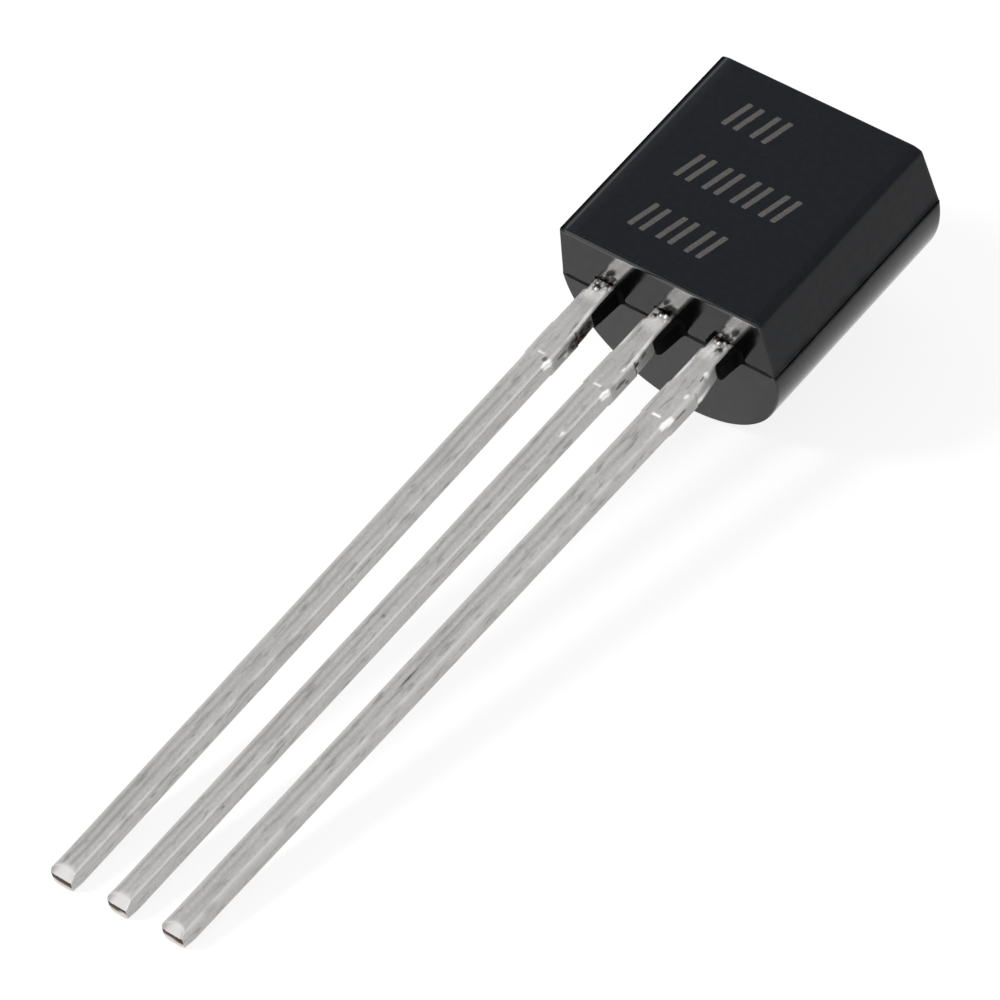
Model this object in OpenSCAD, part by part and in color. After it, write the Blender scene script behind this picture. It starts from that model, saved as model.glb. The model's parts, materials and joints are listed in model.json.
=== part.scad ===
// TO-92 transistor: a D-shaped moulded body on three flat leads, lying on its round back.
// Each piece is drawn upright: the flat face is in the plane y = 0, the body goes back along +y,
// its lower end is at z = 0 and the leads hang down along -z. at_rest() lays it down as it comes
// to rest, flat face up, on the rim of its back and the tips of its leads.

/* [Body] */
// Width across the parting plane; the back is round with half of it as its radius
body_w = 4.56; // [4.4:0.02:4.7]
// Height along the leads
body_h = 4.54; // [4.4:0.02:4.9]
// Depth from the flat face to the back
body_d = 3.52; // [3.4:0.01:3.6]
// Width of the flat face
flat_w = 3.94; // [3.8:0.02:4]
// Width of the bevel on each side of the flat face
bevel_w = 0.15; // [0.05:0.01:0.16]
// Depth of that bevel
bevel_d = 0.05; // [0.03:0.01:0.1]
// Depth of the parting plane, which is also the back of the lead frame
parting_d = 1.25; // [1.2:0.01:1.3]
// Step between the two mould halves, each side
parting_step = 0.01; // [0.01:0.01:0.03]
// Draft of the upper and lower end, in degrees
end_draft = 1.5; // [0.5:0.5:3]
// Diameter of the ejector pin's mark in the back
ejector_dia = 1.6; // [1.2:0.1:1.8]
// Depth of the mark at the crest of the back
ejector_depth = 0.2; // [0.15:0.01:0.25]

/* [Leads] */
// Distance between the leads where they leave the body
pitch = 1.27; // [1.25:0.01:1.29]
// Length of the left, middle and right lead outside the body
lead_lens = [14.18, 14.11, 14.04]; // [12.7:0.01:15]
// Thickness of the lead frame
frame_t = 0.35; // [0.3:0.01:0.4]
// Width of the left, middle and right lead below the tie bar
lead_ws = [0.46, 0.46, 0.52]; // [0.45:0.01:0.54]
// Width of each at its tip
tip_ws = [0.41, 0.37, 0.42]; // [0.36:0.01:0.5]
// How far the left, middle and right tip lean to the right
toes = [0.14, 0, -0.14]; // [-0.3:0.01:0.3]
// Width of the necks next to the body
neck_w = 0.38; // [0.34:0.01:0.38]
// Depth of the recess in the left side of the neck; what remains is on the right
left_recess = 0.04; // [0.03:0.01:0.06]
// Length of the left recess outside the body
left_neck = 0.25; // [0.2:0.01:0.4]
// Length of the right recess outside the body
right_neck = 0.45; // [0.4:0.01:0.5]
// Length over which the right side widens again below its recess
shoulder = 0.55; // [0.3:0.01:0.55]
// Distance from the body to the near end of the cut tie bar
stub_near = 1.12; // [1.1:0.02:1.3]
// Distance from the body to the far end of the cut tie bar
stub_far = 1.9; // [1.5:0.05:2.2]
// How far the cut tie bar stands out from each side of a lead
stub_out = 0.02; // [0.01:0.01:0.05]
// Length of the bevel that the shear leaves on the tip
tip_bevel = 0.16; // [0.1:0.01:0.3]
// Thickness left at the very end of the tip
tip_end_t = 0.17; // [0.1:0.01:0.25]

/* [Mould flash] */
// How far the flash on the right of the left, middle and right lead reaches from the body
flash_lens = [0.69, 0.6, 0.49]; // [0.4:0.01:0.7]
// How far each stands out from the neck next to the body
flash_ws = [0.09, 0.16, 0.13]; // [0.08:0.01:0.2]
// How much narrower the flash is at its free end
flash_taper = 0.05; // [0.02:0.01:0.06]
// Radius of its free corner
flash_r = 0.06; // [0.04:0.01:0.1]
// Radius of the hollow corner between flash and body
flare_r = 0.1; // [0.05:0.01:0.12]
// How far it lies below the front of the lead
flash_sink = 0.03; // [0.01:0.01:0.1]

/* [Inside] */
// Width of a lead inside the body
stem_w = 0.5; // [0.4:0.01:0.55]
// Height above the body's lower end at which the neck widens to the stem
lock_z = 0.35; // [0.3:0.05:0.5]
// Diameter of the round notches that lock the stems in the plastic
notch_dia = 0.24; // [0.2:0.01:0.3]
// Height of those notches
notch_z = 0.8; // [0.7:0.05:0.9]
// Diameter of the locking hole in the paddle
lock_hole_dia = 0.4; // [0.3:0.05:0.5]
// Width of the chip, which is square
die_w = 0.42; // [0.3:0.01:0.6]
// Thickness of the chip
die_t = 0.18; // [0.1:0.01:0.25]
// Thickness of the layer that bonds the chip to its paddle
attach_t = 0.02; // [0.01:0.005:0.03]
// How far that layer reaches past the chip on each side
attach_rim = 0.03; // [0.01:0.01:0.05]
// Diameter of the bond wires
wire_dia = 0.03; // [0.025:0.005:0.04]
// Height of a wire's loop above the chip
loop_h = 0.26; // [0.15:0.01:0.35]

/* [Hidden] */

plastic = "#26272b";
tinned = "#bdbbb7";
silicon = "#5b6070";
solder = "#8f8f8c";
gold = "#d9a93c";

// Body: the back's radius and axis, the rise of the drafted ends at the flat and at the back
back_r = body_w / 2;
back_axis_y = body_d - back_r;
front_rise = parting_d * tan(end_draft);
back_rise = (body_d - parting_d) * tan(end_draft);

// Lead frame and the flash beside its necks
frame_y = parting_d - frame_t;
lead_x = [-pitch, 0, pitch];
ramp = 0.05;
stub_ramp = 0.03;
head_ramp = 0.15;
flare_turn = 60;

// Heads of the leads inside the body: left, right, lower and upper limit
emitter_head = [-1.78, -0.82, 1.35, 2.15];
base_head = [-0.42, 0.42, 1.15, 1.75];
paddle = [-0.5, 1.72, 2.45, 3.85];
lock_hole = [1.27, 3.15];

// Chip and wires: where they stand on the lead frame, as x and z
die_at = [0.35, 3.15];
base_pad = [0.44, 3.05];
emitter_pad = [0.25, 3.22];
base_bond = [0.1, 1.45];
emitter_bond = [-1.2, 1.8];
die_top = attach_t + die_t;
ball_dia = 0.08;
ball_h = 0.03;
stitch_dia = 0.07;
stitch_h = 0.014;
bond_sink = 0.01;
wire_sides = 8;
wire_rings = 14;

// Rest pose: the back's lower rim and the back edge of the longest lead's tip lie on the surface
longest = max(lead_lens);
rest_tilt = atan((body_d - parting_d) / (longest + back_rise));
lift = body_d * cos(rest_tilt) - back_rise * sin(rest_tilt);
tip_end_y = -longest * cos(rest_tilt) + (parting_d - tip_end_t) * sin(rest_tilt);
top_end_y = (body_h - back_rise) * cos(rest_tilt) + body_d * sin(rest_tilt);

margin = 1;
round_fn = 96;
arc_steps = 8;

// Lays an upright shape down, with the middle of the whole part over the origin
module at_rest() {
    translate([0, -(tip_end_y + top_end_y) / 2, lift])
        rotate([rest_tilt - 90, 0, 0])
            children();
}

// A plate with its outline in x and z, its front face at depth y and its thickness along +y
module plate(outline, y, thickness) {
    translate([0, y + thickness, 0])
        rotate([90, 0, 0])
            linear_extrude(thickness)
                polygon(outline);
}

// A bar along x, wider than the body, with its outline in y and z
module across(outline) {
    rotate([90, 0, 90])
        translate([0, 0, -body_w])
            linear_extrude(2 * body_w)
                polygon(outline);
}

// A round pin along y, from depth y to y + length
module pin(x, y, z, dia, length) {
    translate([x, y, z])
        rotate([-90, 0, 0])
            cylinder(d = dia, h = length, $fn = round_fn);
}

// ---- Body ----

// Front mould half: flat face, shallow bevels, sides that widen to the parting plane
module front_half() {
    flat_x = flat_w / 2;
    side_x = body_w / 2 - parting_step;
    linear_extrude(body_h)
        polygon([
            [-flat_x, 0], [flat_x, 0], [flat_x + bevel_w, bevel_d],
            [side_x, parting_d], [-side_x, parting_d], [-flat_x - bevel_w, bevel_d],
        ]);
}

// Back mould half: a round back with the ejector pin's mark
module back_half() {
    difference() {
        intersection() {
            translate([0, back_axis_y, 0])
                cylinder(r = back_r, h = body_h, $fn = round_fn);
            translate([-body_w, parting_d, 0])
                cube([2 * body_w, body_d, body_h]);
        }
        pin(0, body_d - ejector_depth, body_h / 2, ejector_dia, margin);
    }
}

// Side profile of the drafted ends, wider than the body
module drafted_block() {
    across([
        [0, front_rise], [parting_d, 0], [body_d, back_rise],
        [body_d, body_h - back_rise], [parting_d, body_h], [0, body_h - front_rise],
    ]);
}

// Web of plastic that crept down the neck of one lead while it was moulded: it flares where it
// leaves the body and narrows towards its free corner
module flash(i) {
    root_x = edge_at(i, 1, 0, -right_recess(i))[0] + flash_ws[i];
    left_x = edge_at(i, -1, 0)[0];
    flare = [root_x + flare_r, -flare_r];
    corner = [root_x - flash_taper - flash_r, flash_r - flash_lens[i]];
    plate([
        [lead_x[i], lock_z],
        [flare[0] - flare_r * cos(flare_turn), lock_z],
        for (a = [flare_turn : -flare_turn / arc_steps : 0]) flare + flare_r * [-cos(a), sin(a)],
        for (a = [0 : 90 / arc_steps : 90]) corner + flash_r * [cos(a), -sin(a)],
        [lead_x[i], -flash_lens[i]],
        [lead_x[i], -left_neck],
        [left_x + left_recess / 2, -left_neck],
        [left_x, lock_z],
    ], frame_y + flash_sink, frame_t - flash_sink);
}

module body() {
    color(plastic)
        at_rest()
            difference() {
                union() {
                    intersection() {
                        union() {
                            front_half();
                            back_half();
                        }
                        drafted_block();
                    }
                    for (i = [0 : 2]) flash(i);
                }
                lead_shape(0, emitter_head);
                lead_shape(1, base_head);
                collector_shape();
                die_shape();
                attach_shape();
                wire_shape(base_pad, base_bond);
                wire_shape(emitter_pad, emitter_bond);
            }
}

// ---- Leads ----

// Depth of the recess in the right side of the neck of lead i
function right_recess(i) = lead_ws[i] - neck_w - left_recess;

// A point on the left (side -1) or right (side 1) edge of lead i, grown by the given amount.
// Outside the body the lead tapers, and leans to one side, in proportion to the distance from it.
function edge_at(i, side, z, grow = 0) =
    let (out = max(-z, 0) / lead_lens[i], w = lead_ws[i] - (lead_ws[i] - tip_ws[i]) * out)
    [lead_x[i] + toes[i] * out + side * (w / 2 + grow), z];

// The edge from the tip up to the stem: cut tie bar, shoulder and neck
function edge(i, side) =
    let (
        neck = side < 0 ? left_neck : right_neck,
        widening = side < 0 ? ramp : shoulder,
        recess = side < 0 ? left_recess : right_recess(i)
    )
    [
        edge_at(i, side, -lead_lens[i]),
        edge_at(i, side, -stub_far),
        edge_at(i, side, -stub_far + stub_ramp, stub_out),
        edge_at(i, side, -stub_near - stub_ramp, stub_out),
        edge_at(i, side, -stub_near),
        edge_at(i, side, -neck - widening),
        edge_at(i, side, -neck, -recess),
        edge_at(i, side, lock_z, -recess),
    ];

function reversed(points) = [for (k = [len(points) - 1 : -1 : 0]) points[k]];

// The stem and the left or right half of its head
function head_edge(i, side, head) =
    let (stem_x = lead_x[i] + side * stem_w / 2, head_x = side < 0 ? head[0] : head[1])
    [
        [stem_x, lock_z + ramp],
        [stem_x, head[2] - head_ramp],
        [head_x, head[2]],
        [head_x, head[3]],
    ];

// Outer lead, stem and head of one stamping, with locking notches and a sheared tip
module lead_shape(i, head) {
    left = concat(edge(i, -1), head_edge(i, -1, head));
    right = concat(edge(i, 1), head_edge(i, 1, head));
    difference() {
        plate(concat(left, reversed(right)), frame_y, frame_t);
        for (side = [-1, 1])
            pin(lead_x[i] + side * stem_w / 2, frame_y - margin, notch_z, notch_dia, 3 * margin);
        tip_cut(lead_lens[i]);
    }
}

// Wedge that the shear takes off the front of a tip
module tip_cut(length) {
    across([
        [frame_y - margin, -length - margin],
        [parting_d - tip_end_t, -length - margin],
        [parting_d - tip_end_t, -length],
        [frame_y, -length + tip_bevel],
        [frame_y - margin, -length + tip_bevel],
    ]);
}

module collector_shape() {
    difference() {
        lead_shape(2, paddle);
        pin(lock_hole[0], frame_y - margin, lock_hole[1], lock_hole_dia, 3 * margin);
    }
}

module emitter_lead() {
    color(tinned) at_rest() lead_shape(0, emitter_head);
}

module base_lead() {
    color(tinned) at_rest() lead_shape(1, base_head);
}

module collector_lead() {
    color(tinned) at_rest() collector_shape();
}

// ---- Chip ----

// A square slab on the front of the lead frame, centred on the chip's place
module slab(width, bottom, thickness) {
    translate([die_at[0] - width / 2, frame_y - bottom - thickness, die_at[1] - width / 2])
        cube([width, thickness, width]);
}

module die_shape() {
    slab(die_w, attach_t, die_t);
}

module attach_shape() {
    slab(die_w + 2 * attach_rim, 0, attach_t);
}

module die() {
    color(silicon) at_rest() die_shape();
}

module die_attach() {
    color(solder) at_rest() attach_shape();
}

// ---- Bond wires ----

// Distance along the span and height above the lead frame at fraction t of a loop of the given span
function loop_at(t, span) =
    let (
        start = die_top + ball_h - bond_sink,
        a = [0, start],
        b = [0, start + 4 / 3 * loop_h],
        c = [0.75 * span, start],
        d = [span, wire_dia / 2]
    )
    (1 - t) ^ 3 * a + 3 * (1 - t) ^ 2 * t * b + 3 * (1 - t) * t ^ 2 * c + t ^ 3 * d;

// Direction of the loop at fraction t
function loop_dir(t, span) =
    let (step = 0.001, v = loop_at(min(t + step, 1), span) - loop_at(max(t - step, 0), span))
    v / norm(v);

// Tube along a loop from the chip's pad to the head of a lead
module loop(from, to) {
    span = norm(to - from);
    along = (to - from) / span;
    points = [
        for (ring = [0 : wire_rings - 1])
            let (t = ring / (wire_rings - 1), p = loop_at(t, span), dir = loop_dir(t, span))
            for (k = [0 : wire_sides - 1])
                let (
                    turn = 360 * (k + 0.5) / wire_sides,
                    aside = wire_dia / 2 * cos(turn),
                    rise = wire_dia / 2 * sin(turn),
                    s = p[0] - rise * dir[1],
                    h = p[1] + rise * dir[0]
                )
                [
                    from[0] + along[0] * s - along[1] * aside,
                    frame_y - h,
                    from[1] + along[1] * s + along[0] * aside,
                ]
    ];
    last = (wire_rings - 1) * wire_sides;
    polyhedron(points, concat(
        [[for (k = [0 : wire_sides - 1]) k]],
        [[for (k = [wire_sides - 1 : -1 : 0]) last + k]],
        [
            for (ring = [0 : wire_rings - 2])
                for (k = [0 : wire_sides - 1])
                    let (a = ring * wire_sides + k, b = ring * wire_sides + (k + 1) % wire_sides)
                    each [[a, a + wire_sides, b], [b, a + wire_sides, b + wire_sides]]
        ]
    ));
}

// Ball on the chip, loop, and flat stitch on the head of a lead
module wire_shape(from, to) {
    pin(from[0], frame_y - die_top - ball_h, from[1], ball_dia, ball_h);
    loop(from, to);
    pin(to[0], frame_y - stitch_h, to[1], stitch_dia, stitch_h);
}

module base_wire() {
    color(gold) at_rest() wire_shape(base_pad, base_bond);
}

module emitter_wire() {
    color(gold) at_rest() wire_shape(emitter_pad, emitter_bond);
}

body();
emitter_lead();
base_lead();
collector_lead();
die();
die_attach();
base_wire();
emitter_wire();
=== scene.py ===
import json
import math

import bmesh
import bpy
from mathutils import Matrix, Vector, noise


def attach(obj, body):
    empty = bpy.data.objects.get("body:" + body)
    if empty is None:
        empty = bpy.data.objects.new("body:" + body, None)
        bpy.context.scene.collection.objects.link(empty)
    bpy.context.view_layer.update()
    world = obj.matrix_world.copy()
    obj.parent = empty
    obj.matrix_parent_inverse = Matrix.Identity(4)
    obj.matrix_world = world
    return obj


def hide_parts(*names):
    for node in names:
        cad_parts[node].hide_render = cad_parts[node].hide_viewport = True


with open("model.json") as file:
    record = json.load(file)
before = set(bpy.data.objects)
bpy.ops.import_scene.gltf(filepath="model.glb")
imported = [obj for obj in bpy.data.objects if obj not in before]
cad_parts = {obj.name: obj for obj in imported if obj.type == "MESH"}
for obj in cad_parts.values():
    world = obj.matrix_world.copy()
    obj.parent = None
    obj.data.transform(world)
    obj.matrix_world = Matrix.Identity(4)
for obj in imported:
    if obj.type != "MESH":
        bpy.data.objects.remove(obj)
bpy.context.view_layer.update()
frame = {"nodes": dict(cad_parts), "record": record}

# A TO-92 transistor lying flat face up. Its shapes are made upright and in millimetres, as in the
# CAD model: x runs across the body, y goes back from the flat face and z goes up from the body's
# lower end, with the leads along -z. lay_down() then puts them where the CAD model lies.

MM = 0.001

# Body
BODY_W = 4.56
BODY_H = 4.54
BODY_D = 3.52
BACK_R = BODY_W / 2
BACK_AXIS_Y = BODY_D - BACK_R
FLAT_W = 3.94
BEVEL_W = 0.15
BEVEL_D = 0.05
PARTING_D = 1.25
PARTING_STEP = 0.01
END_DRAFT = math.radians(1.5)
EJECTOR_R = 0.8
EJECTOR_DEPTH = 0.2
FLAT_EDGE_R = 0.25
BEVEL_EDGE_R = 0.09
RIM_R = 0.035
FRONT_RIM = 0.12

# Parting line: half its width on the sides and on the ends, its depth, and its lips' wander, with
# the distance at which that fades and the noise's scale along the line and across it
GROOVE_HALF = 0.014
END_GROOVE_HALF = 0.055
GROOVE_DEPTH = 0.03
LIP_REACH = 0.05
LIP_WANDER = 0.016
LIP_FADE = 0.04
LIP_SCALE = 3.2
LIP_SCALE_Y = 20
# It widens over a share of an end's width, and its lips wander there by a share of its half width
END_WIDENING = 1 / 30
END_LIP_WANDER = 0.4
END_LIP_SCALE = 3.5
END_LIPS_APART = 3

# Spacing of the body's points. A drafted side has the finest between two shares of its width.
LIP_STEP = 0.03
SIDE_STEP = 0.08
FLAT_STEP = 0.2
RING_STEP = 0.011
LIP_SHARE = 0.025
DULL_SHARE = 0.2
RIM_STEPS = 4
BEND_STEPS = 6
BACK_FACETS = 110
EJECTOR_FACETS = 96
END_FACETS = 120

# Leads: left, middle and right
LEAD_X = [-1.27, 0, 1.27]
LEAD_LENS = [14.2, 14.13, 14.07]
LEAD_WS = [0.49, 0.49, 0.55]
TIP_WS = [0.445, 0.405, 0.455]
TOES = [0.14, 0, -0.14]
FRAME_T = 0.35
FRAME_Y = PARTING_D - FRAME_T
NECK_W = 0.41
LEFT_RECESS = 0.04
LEFT_NECK = 0.25
RIGHT_NECK = 0.45
SHOULDER = 0.55
RAMP = 0.05
STUB_NEAR = 1.12
STUB_FAR = 1.9
STUB_OUT = 0.02
STUB_RAMP = 0.03
TIP_END_T = 0.25
TIP_CORNER_R = {-1: 0.01, 1: 0.02}
# The shear's arched bevel: its reach, and its middle and half width as shares of the half tip
TIP_BEVELS = [0.19, 0.19, 0.165]
BEVEL_MIDDLES = [0.07, 0.15, 0.02]
BEVEL_HALVES = [1.04, 1.12, 0.9]
EDGE_R = 0.035
TIP_EDGE_R = 0.015
BACK_EDGE_R = 0.05
TIP_BACK_R = 0.1
FRONT_CROWN = 0.004

# Stems and heads inside the body: left, right, lower and upper limit
STEM_W = 0.5
LOCK_Z = 0.35
HEAD_RAMP = 0.15
NOTCH_R = 0.12
NOTCH_Z = 0.8
EMITTER_HEAD = (-1.78, -0.82, 1.35, 2.15)
BASE_HEAD = (-0.42, 0.42, 1.15, 1.75)
PADDLE = (-0.5, 1.72, 2.45, 3.85)
LOCK_HOLE = (1.27, 3.15)
LOCK_HOLE_R = 0.2
LOCK_HOLE_FACETS = 48

# Small features of the leads' surface: (distance from the body, place round the lead, radius,
# height). The place runs from 0 to 1 across the front and from 1 to 2 down the right side.
LUMPS = [
    [(0.0, 0.45, 0.045, 0.028), (0.17, 0.38, 0.05, 0.03), (0.09, 0.75, 0.03, 0.012)],
    [(0.08, 0.5, 0.045, 0.03), (0.05, 0.76, 0.04, 0.028), (0.16, 0.2, 0.04, 0.015)],
    [(0.05, 0.42, 0.045, 0.028), (0.0, 0.66, 0.04, 0.022), (0.22, 0.7, 0.05, 0.015)],
]
# Stains and dark scratches: (distance from the body, place, length, width, strength)
SOILED = [
    [(1.03, 1.5, 0.75, 1.3, 1), (1.55, 1.3, 0.25, 0.22, 1), (1.84, 0.84, 0.11, 0.22, 0.7),
     (7.08, 1.1, 0.08, 0.15, 1), (6.76, 1.18, 0.4, 0.1, 0.45), (8.54, 1.15, 0.35, 0.08, 0.4),
     (10.94, 0.7, 0.12, 0.1, 0.45), (12.17, 1.15, 0.16, 0.12, 0.5)],
    [(0.88, 1.1, 0.16, 0.35, 1), (1.09, 1.22, 0.15, 0.4, 1), (1.39, 1.7, 0.09, 0.25, 1),
     (1.54, 1.3, 0.27, 0.28, 1), (7.44, 0.58, 0.1, 0.18, 0.6), (6.52, 1.06, 0.4, 0.1, 0.6),
     (10.01, 1.1, 0.12, 0.15, 0.5), (11.75, 1.22, 0.12, 0.16, 0.8)],
    [(0.82, 0.95, 0.17, 0.1, 0.8), (1.56, 1.15, 0.27, 0.18, 0.9), (7.2, 0.48, 2.4, 0.05, 0.4),
     (8.2, 0.5, 0.5, 0.08, 0.9), (8.6, 1.07, 0.25, 0.1, 0.5), (9.1, 1.08, 0.2, 0.1, 0.45),
     (11.87, 1.08, 0.14, 0.14, 0.6)],
]
# Painted glints and bright worn spots, as above
GLINTS_AND_WEAR = [
    [(0.9, 0.96, 0.9, 0.12, 0.6), (1.46, 1.7, 0.12, 0.3, 0.6), (1.91, 1.07, 0.29, 0.24, 1)],
    [(0.75, 0.03, 0.5, 0.09, 0.6), (0.9, 0.96, 0.9, 0.12, 0.6), (1.13, 1.58, 0.1, 0.3, 0.7),
     (1.35, 0.92, 0.1, 0.12, 0.7), (1.92, 1.07, 0.29, 0.24, 1), (2.94, 0.9, 0.1, 0.18, 0.8)],
    [(0.71, 0.97, 0.12, 0.2, 0.8), (0.75, 0.03, 0.6, 0.1, 0.7), (0.95, 1.75, 0.5, 0.3, 0.8),
     (1.26, 0.88, 0.12, 0.14, 0.7), (1.88, 1.04, 0.34, 0.24, 1)],
]
# Step and dent that the tie bar's cutting die left across the middle of each front and in its
# right edge. Places round the lead: where they start, are whole, fade and end.
SCAR_AT = [1.755, 1.82, 1.825]
# Strength of a glint painted along each step
SCAR_GLINT = [0.3, 0.5, 0.8]
SCAR_RISE = 0.012
SCAR_RUN = 0.035
SCAR_FADE = 0.5
SCAR_PLACES = (0.3, 0.38, 0.68, 0.76)
DENT_AT = 1.9
DENT_RUN = 0.25
DENT_RISE = 0.016
DENT_PLACES = (0.88, 0.94, 1.1, 1.2)
# Rough sides between the body and the cut tie bar
FRACTURED = (0.25, 1.85)

# Flash left and right of the necks: (width, length, taper, corner radius, flare's radius)
FLASH = {
    -1: [(0.02, 0.2, 0, 0.02, 0.02), (0.02, 0.2, 0, 0.02, 0.02), (0.09, 0.13, 0, 0.02, 0.02)],
    1: [(0.09, 0.69, 0.05, 0.05, 0.1), (0.16, 0.6, 0.05, 0.09, 0.1), (0.13, 0.49, 0.05, 0.05, 0.1)],
}
# It stands between the leads' front and the parting plane, and reaches into neck and body
FLASH_SINK = 0.03
FLASH_BACK = 0.004
FLASH_IN = 0.06
FLASH_UP = 0.1
FLASH_EDGE_R = 0.02
FLASH_WOBBLE = 0.008
FLASH_STEP = 0.03
# Angle at which the flare into the body ends, and the share of its radius there
FLARE_END = 110
FLARE_SHARE = 0.66

# Gap between a lead and the plastic, with its growth at some heights and its walls' wander
CREVICE_SIDE = 0.01
CREVICE_FRONT = 0.012
CREVICE_BACK = 0.008
CREVICE_LEVELS = [(-0.2, 0.03), (0.03, 0.02), (0.12, -0.01)]
CREVICE_WANDER = 0.03
CREVICE_SCALE = 13
CREVICE_CORNER_R = 0.03
CREVICE_STEP = 0.02

# Marks on the flat face: slanted double bars in three rows
MARK_LEFT = -1.17
MARK_ROWS = [(3.53, 2), (2.22, 4), (0.97, 3)]
MARK_PITCH = 0.6
MARK_HEIGHT = 0.6
MARK_SLANT = 0.16
BAR_W = 0.11
BAR_GAP = 0.14
BAR_CORNER_R = 0.025
BAR_EDGE_R = 0.002
BAR_WOBBLE = 0.006
BAR_STEP = 0.04
MARK_PROUD = 0.003

# Plates: angles of the points on their rounded front edges, and scale of their outlines' wobble
EDGE_TURNS = (0, 0.4, 0.8, 1.2, math.pi / 2)
WOBBLE_SCALE = 9
# How far a cutter reaches out of the body, and the angle from which an edge is shaded sharp
CLEARANCE = 1
SHARP_ANGLE = math.radians(32)

# Camera: where it stands, seen from the point it looks at
AIM = Vector((-0.242, 0.464, 1.321)) * MM
CAMERA_AZ = math.radians(43.71)
CAMERA_EL = math.radians(43.42)
CAMERA_ROLL = math.radians(-5.55)
CAMERA_DISTANCE = 114.4 * MM
CLIP_NEAR = CAMERA_DISTANCE / 10
CLIP_FAR = CAMERA_DISTANCE * 100
SENSOR = 36.0
LENS = 251.4


# ---- Places ----

def flat_mount():
    """The record's mount on the flat face, which tells how the part lies."""
    return next(m for m in frame["record"]["mounts"] if m["name"] == "flat_face")


OUT = Vector(flat_mount()["axis"])
UP = Vector((0, OUT.z, -OUT.y))
ACROSS = Vector((1, 0, 0))
FOOT = Vector(flat_mount()["pos_m"]) - UP * BODY_H / 2 * MM
TILT = math.atan2(UP.z, UP.y)


def lay_down():
    """The matrix from the upright shapes in millimetres to the part at rest, in metres."""
    turn = Matrix((ACROSS, -OUT, UP)).transposed().to_4x4()
    return Matrix.Translation(FOOT) @ turn @ Matrix.Scale(MM, 4)


# ---- Outlines ----

def clamp(value, low=0.0, high=1.0):
    return max(low, min(high, value))


def smooth(value):
    """0 below 0, 1 above 1 and a smooth step between them."""
    t = clamp(value)
    return t * t * (3 - 2 * t)


def ramp(value, start, end):
    """0 up to start and 1 from end on. The end may be the lower one."""
    return smooth((value - start) / (end - start))


def window(value, start, whole, fading, end):
    """1 from whole to fading, and 0 before start and after end."""
    return ramp(value, start, whole) * ramp(value, end, fading)


def between(low, high, share):
    """The number at a share of the way from low to high."""
    return low + (high - low) * share


def bell(distance, width):
    """1 at no distance, falling off over the given width."""
    return math.exp(-(distance / width) ** 2)


def wander(*place, seed=0):
    """Smooth noise from -1 to 1 at up to three coordinates."""
    x, y, z = (*place, 0, 0)[:3]
    return noise.noise(Vector((x + 17.3 * seed, y - 5.1 * seed, z + 2.7 * seed)))


def interpolate(points, at):
    """The value at a place between the points (place, value)."""
    for (a, value_a), (b, value_b) in zip(points, points[1:]):
        if at <= b:
            return between(value_a, value_b, clamp((at - a) / (b - a)))
    return points[-1][1]


def steps_between(start, end, step):
    """Places from start to end, about a step apart, without the end."""
    count = max(1, round((end - start) / step))
    return [start + (end - start) * k / count for k in range(count)]


def line(start, end, step):
    """Points along a straight line, without its end."""
    start, end = Vector(start), Vector(end)
    count = max(1, round((end - start).length / step))
    return [start.lerp(end, k / count) for k in range(count)]


def arc(centre, radius, first, last, count):
    """Points along an arc, both ends included. Angles are in degrees."""
    turns = [math.radians(first + (last - first) * k / count) for k in range(count + 1)]
    return [Vector(centre) + radius * Vector((math.cos(a), math.sin(a))) for a in turns]


def fillet(before, corner, after, radius):
    """Points of the arc that rounds a corner of an outline."""
    corner = Vector(corner)
    a = (Vector(before) - corner).normalized()
    b = (Vector(after) - corner).normalized()
    half = a.angle(b) / 2
    centre = corner + (a + b).normalized() * radius / math.sin(half)
    start = corner + a * radius / math.tan(half) - centre
    end = corner + b * radius / math.tan(half) - centre
    sweep = math.atan2(start.x * end.y - start.y * end.x, start.dot(end))
    turns = [sweep * k / BEND_STEPS for k in range(BEND_STEPS + 1)]
    return [centre + Matrix.Rotation(turn, 2) @ start for turn in turns]


def rounded(corners, radius, step):
    """A closed outline through rounded corners, with points about a step apart."""
    points = []
    count = len(corners)
    for k, corner in enumerate(corners):
        bend = fillet(corners[k - 1], corner, corners[(k + 1) % count], radius)
        if points:
            points += line(points[-1], bend[0], step)[1:]
        points += bend
    return points + line(points[-1], points[0], step)[1:]


def normals(loop):
    """Outward unit normals of a closed outline that runs anticlockwise."""
    result = []
    for k in range(len(loop)):
        along = loop[(k + 1) % len(loop)] - loop[k - 1]
        result.append(Vector((along.y, -along.x)).normalized())
    return result


# ---- Meshes ----

def new_mesh(points, faces, masks=None):
    """A mesh with outward normals. masks are named lists of a number a point."""
    mesh = bpy.data.meshes.new("mesh")
    mesh.from_pydata(points, [], faces)
    for key, values in (masks or {}).items():
        mesh.attributes.new(key, "FLOAT", "POINT").data.foreach_set("value", values)
    shape = bmesh.new()
    shape.from_mesh(mesh)
    bmesh.ops.recalc_face_normals(shape, faces=shape.faces)
    shape.to_mesh(mesh)
    shape.free()
    return mesh


def tube_faces(ring_count, ring_size):
    """Quads between consecutive rings of points."""
    faces = []
    for ring in range(ring_count - 1):
        for k in range(ring_size):
            a = ring * ring_size + k
            b = ring * ring_size + (k + 1) % ring_size
            faces.append((a, b, b + ring_size, a + ring_size))
    return faces


def closed_tube(rings, masks=None):
    """A closed mesh through rings of points, with a flat face at either end."""
    size = len(rings[0])
    points = [point for ring in rings for point in ring]
    last = len(points) - size
    ends = [tuple(range(size)), tuple(range(last, last + size))]
    return new_mesh(points, tube_faces(len(rings), size) + ends, masks)


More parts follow.
